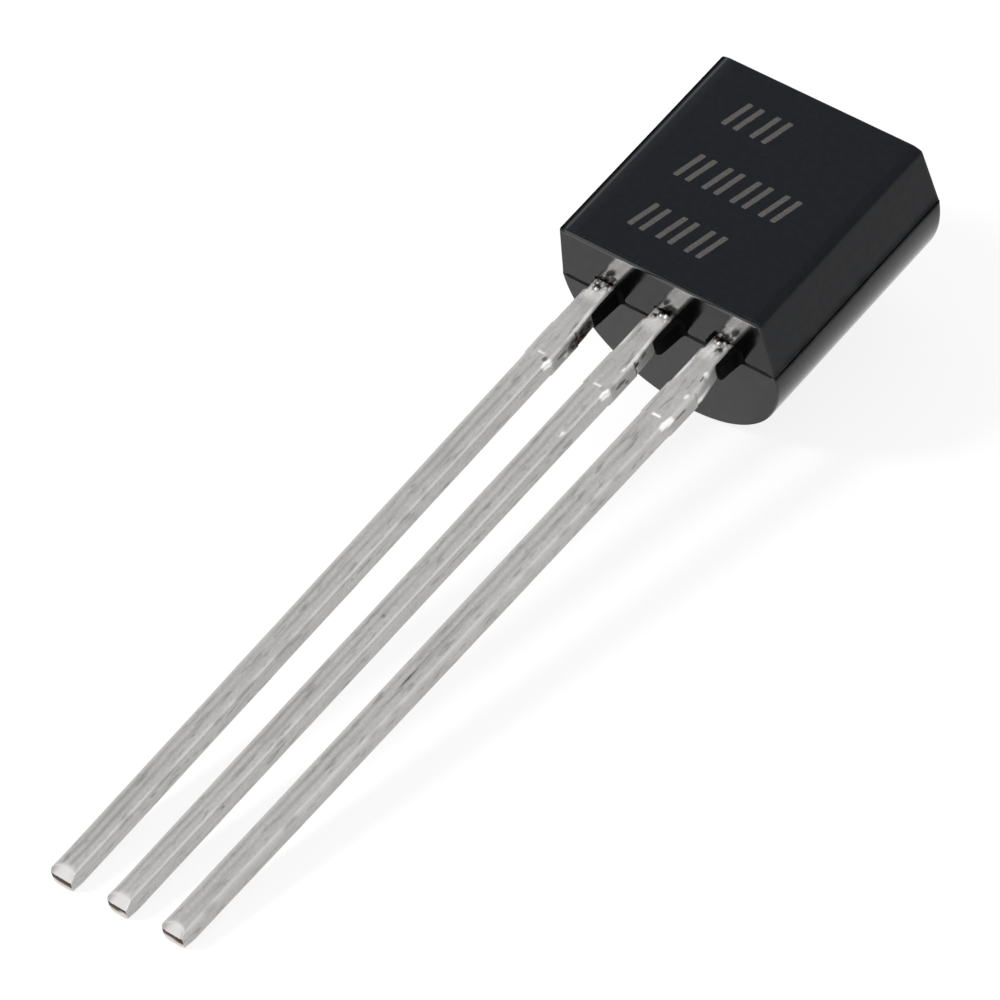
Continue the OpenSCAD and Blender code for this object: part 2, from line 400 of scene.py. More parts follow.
def plate(outline, front, back, edge, wobble):
    """A plate with its outline in x and z, between two depths, with rounded front edges."""
    outward = normals(outline)
    rings = []
    profile = [(1 - math.sin(a), 1 - math.cos(a)) for a in EDGE_TURNS]
    for inset, sink in profile + [(0, None)]:
        depth = back if sink is None else front + edge * sink
        ring = []
        for point, normal in zip(outline, outward):
            rough = wobble * wander(point.x * WOBBLE_SCALE, point.y * WOBBLE_SCALE)
            x, z = point + normal * (rough - edge * inset)
            ring.append((x, depth, z))
        rings.append(ring)
    return closed_tube(rings)


def add_object(name, data):
    """Puts an object with the given data into the scene."""
    obj = bpy.data.objects.new(name, data)
    bpy.context.collection.objects.link(obj)
    return obj


def cut(mesh, tool):
    """The mesh less the tool. Both are used up."""
    objects = [add_object("cutting", m) for m in (mesh, tool)]
    boolean = objects[0].modifiers.new("cut", "BOOLEAN")
    boolean.operation = "DIFFERENCE"
    boolean.solver = "EXACT"
    boolean.object = objects[1]
    seen = objects[0].evaluated_get(bpy.context.evaluated_depsgraph_get())
    result = bpy.data.meshes.new_from_object(seen)
    for obj in objects:
        bpy.data.objects.remove(obj)
    return result


def joined(meshes):
    """One mesh of several closed ones, which keep their material numbers."""
    shape = bmesh.new()
    for mesh in meshes:
        shape.from_mesh(mesh)
    result = bpy.data.meshes.new("mesh")
    shape.to_mesh(result)
    shape.free()
    return result


def pin(radius, start, end, place, facets):
    """A round cutter along y, centred on place = (x, z)."""
    x, z = place
    turns = [2 * math.pi * k / facets for k in range(facets)]
    rings = [
        [(x + radius * math.cos(a), y, z + radius * math.sin(a)) for a in turns]
        for y in (start, end)
    ]
    return closed_tube(rings)


def piece(name, mesh, node, materials):
    """Puts a finished mesh into the scene, in place of a CAD node."""
    mesh.name = name
    mesh.transform(lay_down())
    for material in materials:
        mesh.materials.append(material)
    mesh.shade_smooth()
    mesh.set_sharp_from_angle(angle=SHARP_ANGLE)
    obj = add_object(name, mesh)
    obj.modifiers.new("even_shading", "WEIGHTED_NORMAL").keep_sharp = True
    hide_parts(node)
    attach(obj, "root")


# ---- Body ----

# Places of the body's materials: the moulding itself is the first
END_FIELD, END_GROOVE, FLASH_SKIN, INK = 1, 2, 3, 4


def rise(y):
    """How far a drafted end draws back at depth y."""
    return abs(y - PARTING_D) * math.tan(END_DRAFT)


def front_chain():
    """The front half's outline, from left to right."""
    side = Vector((BODY_W / 2 - PARTING_STEP, PARTING_D - GROOVE_HALF))
    bevel = Vector((FLAT_W / 2 + BEVEL_W, BEVEL_D))
    flat = (FLAT_W / 2, 0)
    mid = (0, 0)
    dull_end = side.lerp(bevel, DULL_SHARE)
    right = [side] + line(side.lerp(bevel, LIP_SHARE), dull_end, LIP_STEP)
    bend = fillet(side, bevel, flat, BEVEL_EDGE_R)
    right += line(dull_end, bend[0], SIDE_STEP) + bend
    bend = fillet(bevel, flat, mid, FLAT_EDGE_R)
    right += line(right[-1], bend[0], SIDE_STEP)[1:] + bend
    right += line(bend[-1], mid, FLAT_STEP)[1:]
    left = [Vector((-p.x, p.y)) for p in right]
    return left + [Vector(mid)] + right[::-1]


def back_chain():
    """The back half's outline, from right to left."""
    lip, near_lip = (
        math.degrees(math.asin((y - BACK_AXIS_Y) / BACK_R))
        for y in (PARTING_D + GROOVE_HALF, PARTING_D + LIP_REACH)
    )
    centre = (0, BACK_AXIS_Y)
    ends = arc(centre, BACK_R, lip, 180 - lip, 1)
    return [ends[0]] + arc(centre, BACK_R, near_lip, 180 - near_lip, BACK_FACETS) + [ends[1]]


def body_loop():
    """The outline, anticlockwise from the right groove, and the left groove's place in it."""
    groove_x = BODY_W / 2 - PARTING_STEP - GROOVE_DEPTH
    back = back_chain()
    loop = [Vector((groove_x, PARTING_D))] + back + [Vector((-groove_x, PARTING_D))] + front_chain()
    return loop, len(back) + 1


def ragged(x, y, z):
    """How far the lips of the parting line stand out and apart."""
    seed = 1 if x > 0 else 2
    near = LIP_WANDER * bell(y - PARTING_D, LIP_FADE)
    out = near * wander(z * LIP_SCALE, y * LIP_SCALE_Y, seed=seed)
    apart = near * wander(z * 2 * LIP_SCALE, seed=seed + 2)
    return math.copysign(out, x), math.copysign(apart, y - PARTING_D)


# Painted shade at the parting line, which also dulls it: in it, and from the least to the most
# behind and ahead of it, with its reach. Ahead, the darkest patches reach further.
GROOVE_SHADE = 0.6
BEHIND_SHADE, BEHIND_REACH = (0.55, 0.95), 0.13
AHEAD_SHADE, AHEAD_REACH = (0.1, 0.6), 0.16
PATCH_REACH = 0.048


def parting_shade_share(x, y, z):
    """How much painted shade and dullness the sides get by the parting line, in patches along it."""
    away = abs(y - PARTING_D) - GROOVE_HALF
    patch = between(0.5, 1, wander(z * LIP_SCALE, seed=8 if x > 0 else 9))
    if away <= 0:
        return GROOVE_SHADE
    if y > PARTING_D:
        return between(*BEHIND_SHADE, patch) * ramp(away, BEHIND_REACH, 0)
    further = PATCH_REACH * patch
    return between(*AHEAD_SHADE, patch) * ramp(away, AHEAD_REACH + further, further)


# Pairs of places: where a change starts and where it is complete.
# Painted shade and dullness on rims: less on the right, and in front only on the left. All at the
# upper end.
RIM_SHADE = 0.8
BEHIND_BEVEL = (BEVEL_D, 2 * BEVEL_D)
RIGHT_RIM_LOSS = 0.8
RIGHT_RIM_X = (1.6, 2.0)
FRONT_RIM_X = (0, -1)
UPPER_Z = (1, 2)
# Painted shade and dullness on the left bevel, from the flat face outwards, and in a line on the
# flat face's lower edge
BEVEL_SHADE_X = (0.02, 0.05)
EDGE_SHADE = 0.7
EDGE_SHADE_Y = (0.03, 0.01)
EDGE_SHADE_Z = (0.0725, 0.0525)
# Painted highlights, by a higher gloss: on the lower edge, the left edge of the flat face, and the
# right rim
LOWER_INSET = (0.057, 0.343)
LOWER_Y = (FRONT_RIM + 0.05, FRONT_RIM)
LEFT_HALF = 0.028
LEFT_Y = (1.5 * BEVEL_D, 0.5 * BEVEL_D)
RIGHT_HIGHLIGHT = 0.8
RIGHT_INSET, RIGHT_HALF = 0.4, 0.3
RIGHT_X = (1.8, 1.95)
RIGHT_Z = (2 * RIM_R, RIM_R)


def dull_and_shade_share(x, y, z, rim):
    """How much painted shade and dullness the moulding gets."""
    behind_bevel = ramp(y, *BEHIND_BEVEL)
    rims = rim * behind_bevel * (1 - RIGHT_RIM_LOSS * ramp(x, *RIGHT_RIM_X))
    if y < PARTING_D:
        rims *= ramp(x, *FRONT_RIM_X)
    top = rim * ramp(z, *UPPER_Z)
    bevel = ramp(-x - FLAT_W / 2, *BEVEL_SHADE_X) * (1 - behind_bevel)
    edge = EDGE_SHADE * ramp(y, *EDGE_SHADE_Y) * ramp(z, *EDGE_SHADE_Z)
    return max(parting_shade_share(x, y, z), rims, top, bevel, edge)


def painted_highlight_share(x, y, z, inset):
    """How much painted highlight, by a higher gloss, the moulding gets."""
    lower = ramp(inset, *LOWER_INSET) * (1 - ramp(z, *UPPER_Z)) * ramp(y, *LOWER_Y)
    left = bell(-x - FLAT_W / 2, LEFT_HALF) * ramp(y, *LEFT_Y)
    right = RIGHT_HIGHLIGHT * bell(inset - RIGHT_INSET, RIGHT_HALF)
    right *= ramp(x, *RIGHT_X) * ramp(z - rise(y), *RIGHT_Z)
    return max(lower, left, right)


def rim_width(y):
    """How far a rounded rim reaches in over an end."""
    return between(RIM_R, FRONT_RIM, ramp(y, FRONT_RIM, 0))


def side_normals(loop):
    """Normals of the outline, straight across where the groove disturbs it."""
    result = normals(loop)
    for k, point in enumerate(loop):
        if abs(point.y - PARTING_D) < LIP_REACH:
            result[k] = Vector((math.copysign(1, point.x), 0))
    return result


def body_rings(loop):
    """Rings of points from the lower to the upper end, with rounded rims, and their masks."""
    outward = side_normals(loop)
    turns = [k * math.pi / 2 / RIM_STEPS for k in range(RIM_STEPS + 1)]
    profile = [(1 - math.sin(a), 0, -math.cos(a)) for a in turns]
    profile += [(0, t, 0) for t in steps_between(0, 1, RING_STEP)[1:]]
    profile += [(1 - math.sin(a), 1, math.cos(a)) for a in reversed(turns)]
    rings = []
    # Masks of painted shade, which also dulls, and of painted highlight, as a higher gloss
    masks = {"dull_and_painted_shade": [], "painted_highlight_gloss": []}
    for inset, up, extra in profile:
        rim = RIM_SHADE if 0 < inset < 1 else 0
        ring = []
        for point, normal in zip(loop, outward):
            x, y = point - normal * rim_width(point.y) * inset
            low = rise(y) + RIM_R
            z = low + (BODY_H - 2 * low) * up + RIM_R * extra
            out, apart = ragged(x, y, z)
            ring.append((x + out, y + apart, z))
            masks["dull_and_painted_shade"].append(dull_and_shade_share(x, y, z, rim))
            masks["painted_highlight_gloss"].append(painted_highlight_share(x, y, z, inset))
        rings.append(ring)
    return rings, masks


def end_groove(points, first, last, lip, sink, top):
    """Adds the points of one line of the groove across an end, between two points of the loop.
    lip is -1 for the front lip, 0 for the bottom and 1 for the back lip."""
    start, end = Vector(points[first]), Vector(points[last])
    indices = [first]
    for k in range(1, END_FACETS):
        share = k / END_FACETS
        x, _, _ = start.lerp(end, share)
        inside = window(share, 0, END_WIDENING, 1 - END_WIDENING, 1)
        noise_at = (x * END_LIP_SCALE, END_LIPS_APART * lip)
        ragged_lip = END_LIP_WANDER * inside * wander(*noise_at, seed=3)
        at_y = PARTING_D + between(GROOVE_HALF, END_GROOVE_HALF, inside) * (lip + ragged_lip)
        height = rise(at_y) + sink
        indices.append(len(points))
        points.append((x, at_y, BODY_H - height if top else height))
    return indices + [last]


def end_faces(points, ring_start, size, left_groove, top):
    """Faces that close an end: a field on each side of the parting line, and its groove."""
    right, left = ring_start, ring_start + left_groove
    back_field = list(range(right + 1, left))
    front_field = list(range(left + 1, ring_start + size))
    lines = [
        end_groove(points, front_field[-1], front_field[0], -1, 0, top),
        end_groove(points, right, left, 0, GROOVE_DEPTH, top),
        end_groove(points, back_field[0], back_field[-1], 1, 0, top),
    ]
    faces = [front_field + lines[0][1:-1], back_field + lines[2][-2:0:-1]]
    for a, b in zip(lines, lines[1:]):
        faces += [(a[k], a[k + 1], b[k + 1], b[k]) for k in range(len(a) - 1)]
    return faces


def moulding():
    """The bare body: a drafted D-shaped block with a parting line all round."""
    loop, left_groove = body_loop()
    rings, masks = body_rings(loop)
    size = len(loop)
    points = [point for ring in rings for point in ring]
    faces = tube_faces(len(rings), size)
    upper = (len(rings) - 1) * size
    numbers = [0] * len(faces)
    for start, top in ((0, False), (upper, True)):
        end = end_faces(points, start, size, left_groove, top)
        faces += end
        numbers += [END_FIELD, END_FIELD] + [END_GROOVE] * (len(end) - 2)
    for values in masks.values():
        values += [0.0] * (len(points) - len(values))
    mesh = new_mesh(points, faces, masks)
    mesh.polygons.foreach_set("material_index", numbers)
    return mesh


def recess(i, side):
    """How far the neck of lead i draws in on one side."""
    return LEFT_RECESS if side < 0 else LEAD_WS[i] - NECK_W - LEFT_RECESS


def flash_outline(i, side):
    """Outline in x and z of the flash on one side of a neck."""
    neck = lead_edge(i, side, 0, -recess(i, side))
    width, length, taper, radius, flare = FLASH[side][i]
    points = [Vector((-FLASH_IN, -length))]
    points += arc((width - taper - radius, radius - length), radius, 270, 360, BEND_STEPS)
    points += arc((width + flare, -flare), flare, 180, FLARE_END, BEND_STEPS)
    points += [Vector((width + flare * FLARE_SHARE, FLASH_UP)), Vector((-FLASH_IN, FLASH_UP))]
    points = [Vector((neck + side * p.x, p.y)) for p in points]
    if side < 0:
        points.reverse()
    loop = []
    for a, b in zip(points, points[1:] + points[:1]):
        loop += line(a, b, FLASH_STEP)
    return loop


def flash(i, side):
    """The web of plastic that crept down one side of a neck."""
    outline = flash_outline(i, side)
    front, back = FRAME_Y + FLASH_SINK, PARTING_D - FLASH_BACK
    return plate(outline, front, back, FLASH_EDGE_R, FLASH_WOBBLE)


def bar(x, z):
    """One slanted bar of a mark."""
    low, high = z - MARK_HEIGHT / 2, z + MARK_HEIGHT / 2
    corners = [
        (x, low), (x + BAR_W, low), (x + BAR_W + MARK_SLANT, high), (x + MARK_SLANT, high),
    ]
    outline = rounded(corners, BAR_CORNER_R, BAR_STEP)
    return plate(outline, -MARK_PROUD, MARK_PROUD, BAR_EDGE_R, BAR_WOBBLE)


def marks():
    """The marks on the flat face."""
    bars = []
    for z, count in MARK_ROWS:
        for k in range(count):
            x = MARK_LEFT + k * MARK_PITCH
            bars += [bar(x, z), bar(x + BAR_GAP + BAR_W, z)]
    return bars


def crevice(i):
    """Cutter for the uneven gap between a lead and the plastic."""
    low = FRAME_Y - CREVICE_FRONT
    high = PARTING_D + CREVICE_BACK
    left, right = (
        lead_edge(i, side, 0, -recess(i, side)) + side * CREVICE_SIDE for side in (-1, 1)
    )
    corners = [(left, low), (right, low), (right, high), (left, high)]
    outline = rounded(corners, CREVICE_CORNER_R, CREVICE_STEP)
    rings = []
    for z, grow in CREVICE_LEVELS:
        ring = []
        for point, normal in zip(outline, normals(outline)):
            noise_at = (point.x * CREVICE_SCALE, point.y * CREVICE_SCALE)
            x, y = point + normal * (grow + CREVICE_WANDER * wander(*noise_at, seed=4))
            ring.append((x, y, z))
        rings.append(ring)
    return closed_tube(rings)


def body_shell(materials):
    """The moulded body with its flash and marks."""
    shell = moulding()
    bottom, out = BODY_D - EJECTOR_DEPTH, BODY_D + CLEARANCE
    shell = cut(shell, pin(EJECTOR_R, bottom, out, (0, BODY_H / 2), EJECTOR_FACETS))
    lead_numbers = range(len(LEAD_X))
    for i in lead_numbers:
        shell = cut(shell, crevice(i))
    webs = [flash(i, side) for i in lead_numbers for side in (-1, 1)]
    bars = marks()
    for number, group in ((FLASH_SKIN, webs), (INK, bars)):
        for mesh in group:
            mesh.polygons.foreach_set("material_index", [number] * len(mesh.polygons))
    whole = joined([shell] + webs + bars)
    piece("body_shell", whole, "body", materials)


# ---- Leads ----

# Place of the material of a lead's cut end: the tin is the first
CUT_END = 1


def lead_edge(i, side, z, grow=0.0):
    """x of the left (side -1) or right (side 1) edge of lead i at height z."""
    out = max(-z, 0) / LEAD_LENS[i]
    width = LEAD_WS[i] + (TIP_WS[i] - LEAD_WS[i]) * out
    return LEAD_X[i] + TOES[i] * out + side * (width / 2 + grow)


def lead_outline(i, side, head):
    """(z, x) along one edge of a lead, from its tip to the top of its head."""
    neck = LEFT_NECK if side < 0 else RIGHT_NECK
    widening = RAMP if side < 0 else SHOULDER
    drawn_in = -recess(i, side)
    grown = [
        (-LEAD_LENS[i], 0), (-STUB_FAR, 0), (-STUB_FAR + STUB_RAMP, STUB_OUT),
        (-STUB_NEAR - STUB_RAMP, STUB_OUT), (-STUB_NEAR, 0), (-neck - widening, 0),
        (-neck, drawn_in), (LOCK_Z, drawn_in),
    ]
    outer = [(z, lead_edge(i, side, z, grow)) for z, grow in grown]
    stem_x = LEAD_X[i] + side * STEM_W / 2
    head_x = head[0] if side < 0 else head[1]
    inner = [
        (LOCK_Z + RAMP, stem_x), (head[2] - HEAD_RAMP, stem_x), (head[2], head_x), (head[3], head_x),
    ]
    return outer + inner


# Stretches of a lead where its rings stand close, and all steps from its tip to its head
TIP_SPAN = 0.3
TIE_FROM, TIE_TO = -2.1, -0.95
ROOT_FROM, ROOT_TO = -0.3, 0.12
RING_STEPS = [0.01, 0.055, 0.018, 0.025, 0.012, 0.06, 0.05, 0.015, 0.2, 0.05, 0.2]


def stations(i, head):
    """Heights of a lead's rings: close together where there is something to see."""
    tip = -LEAD_LENS[i]
    _, _, low, high = head
    limits = [
        tip, tip + TIP_SPAN, TIE_FROM, TIE_TO, ROOT_FROM, ROOT_TO, LOCK_Z, NOTCH_Z - NOTCH_R,
        NOTCH_Z + NOTCH_R, low - HEAD_RAMP, low, high,
    ]
    spans = zip(limits, limits[1:], RING_STEPS)
    return [z for span in spans for z in steps_between(*span)] + [high]


# Points on a lead's front, right side, back and left side, and steps round its edges
SIDE_POINTS = (28, 6, 8, 5)
EDGE_STEPS = 4


def ring_template():
    """The points round a lead: shares of its width and thickness, shares of its edge radius, the
    outward normal, and the place round it, which is -1 at its back left edge, 0 and 1 at its front
    edges and 2 at its back right edge."""
    template = []
    corners = [(0, 0), (1, 0), (1, 1), (0, 1)]
    places, ends = (0, 1, 2, -1), (1, 2, -1, 0)
    for side, count in enumerate(SIDE_POINTS):
        u0, v0 = corners[side]
        u1, v1 = corners[(side + 1) % 4]
        nx, ny = v1 - v0, u0 - u1
        for k in range(count + 1):
            t = k / count
            inward = 1 - 2 * t
            u, v = between(u0, u1, t), between(v0, v1, t)
            cu, cv = inward * (u1 - u0), inward * (v1 - v0)
            template.append((u, v, cu, cv, nx, ny, between(places[side], ends[side], t)))
        start = math.atan2(ny, nx)
        for k in range(1, EDGE_STEPS):
            turn = start + k * math.pi / 2 / EDGE_STEPS
            bx, by = math.cos(turn), math.sin(turn)
            template.append((u1, v1, 1 - 2 * u1 + bx, 1 - 2 * v1 + by, bx, by, ends[side]))
    return template


# Least of the bevel's arch, how softly it starts, and how much less it goes back at its sides
ARCH_LEAST = 0.05
BEVEL_SOFTNESS = 0.12
BEVEL_SIDE_LOSS = 0.2
BEVEL_SIDES = (0.7, 1.0)


def tip_drop(i, s, above):
    """How far the shear's arched bevel takes the front back at a place across the tip."""
    aside = (s - BEVEL_MIDDLES[i]) / BEVEL_HALVES[i]
    reach = TIP_BEVELS[i] * math.sqrt(max(1 - aside * aside, ARCH_LEAST))
    left = 1 - above / reach
    share = clamp((left + math.hypot(left, BEVEL_SOFTNESS)) / 2)
    return (FRAME_T - TIP_END_T) * share * (1 - BEVEL_SIDE_LOSS * ramp(abs(aside), *BEVEL_SIDES))


def corner_inset(side, above_tip):
    """How far a rounded corner of the tip takes the edge in."""
    radius = TIP_CORNER_R[side]
    left = clamp(radius - above_tip, 0, radius)
    return radius - math.sqrt(radius * radius - left * left)


def notch(z):
    """Depth of the round locking notch at a height."""
    away = abs(z - NOTCH_Z)
    return math.sqrt(NOTCH_R ** 2 - away ** 2) if away < NOTCH_R else 0


def scar(i, place, z):
    """Height of the step and the dent that the cutting die left."""
    step = smooth((z + SCAR_AT[i]) / SCAR_RUN + 0.5)
    dent = smooth((z + DENT_AT) / DENT_RUN + 0.5)
    fade = clamp(1 - (z + SCAR_AT[i]) / SCAR_FADE)
    middle, right = window(place, *SCAR_PLACES), window(place, *DENT_PLACES)
    return fade * (SCAR_RISE * step * middle + DENT_RISE * dent * right)


# Unevenness along a lead, all over it, and of the solder at its root: height and noise scales
WAVE, WAVE_SCALE = 0.003, 1.1
RIPPLE, RIPPLE_SCALE, RIPPLE_SCALE_Z = 0.0008, 16, 0.3
SOLDER, SOLDER_SCALE, SOLDER_SCALE_Z = 0.012, 13, 10
SOLDER_Z = (-0.2, -0.08)


def swell(i, x, y, z, place):
    """Unevenness of a lead's surface, along its normal."""
    height = WAVE * wander(z * WAVE_SCALE, place, seed=5 + i)
    height += RIPPLE * wander(x * RIPPLE_SCALE, y * RIPPLE_SCALE, z * RIPPLE_SCALE_Z, seed=i)
    for away, where, radius, lump in LUMPS[i]:
        distance = math.hypot(z + away, (place - where) * NECK_W)
        height += lump * bell(distance, radius)
    solder = SOLDER * wander(x * SOLDER_SCALE, y * SOLDER_SCALE, z * SOLDER_SCALE_Z, seed=i)
    return height + ramp(z, *SOLDER_Z) * solder + scar(i, place, z)


# Values of a spot's bell between which it fades in
SPOT_BELL = (0.7 / 3, 1.7 / 3)
# Darkening of a lead at its root: where it fades in, and how that wanders
ROOT_Z = (-0.06, -0.01)
ROOT_WANDER = 0.05
ROOT_SCALE, ROOT_SCALE_Z = 5, 4
# Dashes of painted shade on the right front edge, and a painted highlight between them
DASH, DASH_PLACE, DASH_HALF = 0.6, 1.07, 0.05
DASH_SCALE = 2.5
DASH_NOISE = (0.08, 0.48)
EDGE_HIGHLIGHT, EDGE_HIGHLIGHT_HALF = 0.2, 0.06
# Painted glint along the step
GLINT_HALF = 0.6 * SCAR_RUN
GLINT_PLACES = (0.32, 0.38, 0.68, 0.74)
# Roughness of the front edges and the torn sides
ROUGH, ROUGH_EDGE_HALF = 0.7, 0.04
TORN_ASIDE = (0.55, 0.65)
TORN_RAMP = 0.1


def spotted(spots, place, z):
    """The strongest of some spots at a place, from 0 to 1."""
    return max(
        strength * ramp(bell(z + away, length / 2) * bell(place - where, width / 2), *SPOT_BELL)
        for away, where, length, width, strength in spots
    )


def shade_dash(i, z):
    """1 where a lead's right front edge has a dash of painted shade, 0 where it has a painted
    highlight.
    """
    return ramp(wander(z * DASH_SCALE, seed=11 + i), *DASH_NOISE)


def dirt_and_shade_share(i, place, z):
    """Dirt and painted shade on a lead: its spots, the darkening at its root, and its edge's dashes.
    """
    wandering = ROOT_WANDER * wander(place * ROOT_SCALE, z * ROOT_SCALE_Z, seed=i)
    dash = DASH * bell(place - DASH_PLACE, DASH_HALF) * shade_dash(i, z)
    return max(spotted(SOILED[i], place, z), ramp(z + wandering, *ROOT_Z), dash)


def glint_and_wear_share(i, place, z):
    """How much painted glint, painted highlight and bright wear a lead has: its spots, step and
    edge.
    """
    step = bell(z + SCAR_AT[i], GLINT_HALF) * window(place, *GLINT_PLACES)
    edge = EDGE_HIGHLIGHT * bell(place - 1, EDGE_HIGHLIGHT_HALF) * (1 - shade_dash(i, z))
    return max(spotted(GLINTS_AND_WEAR[i], place, z), SCAR_GLINT[i] * step, edge)


def fracture(place, z):
    """How rough the front edges and the torn sides are."""
    first, last = FRACTURED
    aside = abs(place - 0.5)
    torn = window(-z, first, first + TORN_RAMP, last - TORN_RAMP, last)
    return ROUGH * max(ramp(aside, *TORN_ASIDE) * torn, bell(aside - 0.5, ROUGH_EDGE_HALF))


# Lengths over which the edges' radii change at the tip, and the bands of painted shade get plain
# past the tie bar
EDGE_RUN = 0.4
BACK_EDGE_RUN = 0.25
PLAIN_RUN = 0.6
# Depth at which the tip's bevel counts as sheared
BEVEL_START = 0.003


def lead_masks(i, z, place, depth, bevel):
    """What the tin's material has to know at a point of a lead."""
    glint_and_wear = glint_and_wear_share(i, place, z)
    return {
        "around": place,
        "plain": ramp(-z, SCAR_AT[i], SCAR_AT[i] + PLAIN_RUN),
        "depth": depth,
        "sheared": max(bevel, fracture(place, z) * (1 - glint_and_wear)),
        "dirt_and_painted_shade": dirt_and_shade_share(i, place, z),
        "glint_and_wear": glint_and_wear,
    }


def lead(name, i, node, head, materials):
    """One stamping: outer lead, stem and head."""
    left, right = (lead_outline(i, side, head) for side in (-1, 1))
    template = ring_template()
    rings = []
    masks = {}
    for z in stations(i, head):
        above = z + LEAD_LENS[i]
        bite = notch(z)
        xl = interpolate(left, z) + corner_inset(-1, above) + bite
        xr = interpolate(right, z) - corner_inset(1, above) - bite
        front_edge = between(TIP_EDGE_R, EDGE_R, ramp(above, 0, EDGE_RUN))
        back_edge = between(TIP_BACK_R, BACK_EDGE_R, ramp(above, 0, BACK_EDGE_RUN))
        ring = []
        for u, v, cu, cv, nx, ny, place in template:
            edge = between(front_edge, back_edge, v)
            x = between(xl, xr, u) + edge * cu
            s = clamp(2 * (x - xl) / (xr - xl) - 1, -1, 1)
            drop = tip_drop(i, s, above)
            front = FRAME_Y + drop + FRONT_CROWN * s * s
            y = between(front, PARTING_D, v) + edge * cv
            d = swell(i, x, y, z, place)
            ring.append((x + nx * d, y + ny * d, z))
            bevel = ramp(drop, 0, BEVEL_START) if ny < -0.5 else 0
            for key, value in lead_masks(i, z, place, v, bevel).items():
                masks.setdefault(key, []).append(value)
        rings.append(ring)
    mesh = closed_tube(rings, masks)
    mesh.polygons[len(mesh.polygons) - 2].material_index = CUT_END
    if head is PADDLE:
        mesh = cut(mesh, pin(LOCK_HOLE_R, 0, BODY_D, LOCK_HOLE, LOCK_HOLE_FACETS))
    piece(name, mesh, node, materials)


# ---- Materials ----

# Most of a noise's values lie between these
NOISE_RANGE = (0.3, 0.7)


def feed(tree, socket, value):
    """Gives an input a number or colour, or links it to an output."""
    if isinstance(value, bpy.types.NodeSocket):
        tree.links.new(value, socket)
    else:
        socket.default_value = value


def add_node(tree, kind, inputs, output=0, **settings):
    """Adds a node and returns one of its outputs."""
    node = tree.nodes.new("ShaderNode" + kind)
    for key, value in settings.items():
        setattr(node, key, value)
    for key, value in inputs.items():
        feed(tree, node.inputs[key], value)
    return node.outputs[output]


class Finish:
    """A procedural material, whose methods add nodes and return their outputs."""

    def __init__(self, name, **constants):
        self.material = bpy.data.materials.new(name)
        self.material.use_nodes = True
        self.tree = self.material.node_tree
        self.shader = self.tree.nodes["Principled BSDF"]
        for key, value in constants.items():
            self.set(key.replace("_", " "), value)

    def set(self, socket, value):
        feed(self.tree, self.shader.inputs[socket], value)

    def node(self, kind, inputs, **settings):
        return add_node(self.tree, kind, inputs, **settings)

    def place(self, stretch=1.0):
        """Places in millimetres: x across, y along the leads, shrunk to stretch streaks, z out."""
        spot = self.node("TexCoord", {}, output="Object")
        laid = {"Vector": spot, "Scale": (1 / MM,) * 3, "Rotation": (-TILT, 0, 0)}
        upright = self.node("Mapping", laid)
        if stretch == 1:
            return upright
        return self.node("Mapping", {"Vector": upright, "Scale": (1, 1 / stretch, 1)})

    def noise(self, scale, detail=3.0, roughness=0.55, stretch=1.0):
        """Noise of a scale a millimetre, stretched along the leads."""
        inputs = {
            "Vector": self.place(stretch), "Scale": scale, "Detail": detail, "Roughness": roughness,
        }
        return self.node("TexNoise", inputs)

    def mask(self, name):
        return self.node("Attribute", {}, output="Fac", attribute_name=name)

    def math(self, operation, a, b=0.0):
        return self.node("Math", {0: a, 1: b}, operation=operation)

    def remap(self, value, low, high, to_low, to_high):
        """A value between low and high, carried over to another range."""
        inputs = {0: value, 1: low, 2: high, 3: to_low, 4: to_high}
        return self.node("MapRange", inputs)

    def spread(self, grain, low, high):
        """Noise spread out from low to high."""
        return self.remap(grain, *NOISE_RANGE, low, high)

    def between(self, low, high, share):
        """The number at a share of the way from low to high."""
        return self.remap(share, 0, 1, low, high)

    def mix(self, share, a, b):
        """Colour a turning into b by a share. A Mix node's colours are its sockets 6 and 7."""
        return self.node("Mix", {0: share, 6: a, 7: b}, output=2, data_type="RGBA")

    def relief(self, height, distance):
        """A bump of the given height in millimetres."""
        self.set("Normal", self.node("Bump", {"Height": height, "Distance": distance * MM}))


def grey(value, warmth=0.0):
    return (value * (1 + warmth), value, value * (1 - warmth), 1)


# Compound of the sides and the ends: darkest and lightest colour, and specular level
SIDE_COLOURS = (0.0004, 0.0012, 0.0036, 1), (0.0036, 0.0052, 0.0088, 1)
END_COLOURS = (0.0018, 0.0015, 0.0019, 1), (0.0036, 0.0030, 0.0038, 1)
SIDE_GLOSS = 0.15
END_GLOSS = 0.215
# Places darkened and dulled as painted shade, places made glossy as painted highlight, plain
# places, and the skins of the groove and the flash
PAINTED_SHADE_COLOUR = grey(0.001)
SHADE_GLOSS = 0.01
SHADE_ROUGHNESS = 0.6
HIGHLIGHT_GLOSS = 0.7
SIDE_ROUGHNESS = 0.13
GROOVE_GLOSS = 0.12
FLASH_GLOSS = 0.03
# Share of their gloss that the ends lose to the right, which makes them darker there
END_GLOSS_LOSS = 0.18
END_GLOSS_LOSS_X = (0.9, 1.7)

# The tin, its flecks, pits and tears, its dirt and painted shade, and its bright wear and painted
# glints
TIN_LIGHT = grey(0.54, 0.025)
TIN_DARK = grey(0.28, 0.025)
FLECK = grey(0.2, 0.05)
PIT = grey(0.15, 0.06)
TORN = grey(0.5, 0.01)
DIRT_AND_SHADE_COLOUR = (0.030, 0.017, 0.012, 1)
GLINT_AND_WEAR_TIN = grey(0.95)
TORN_ROUGHNESS = 0.7
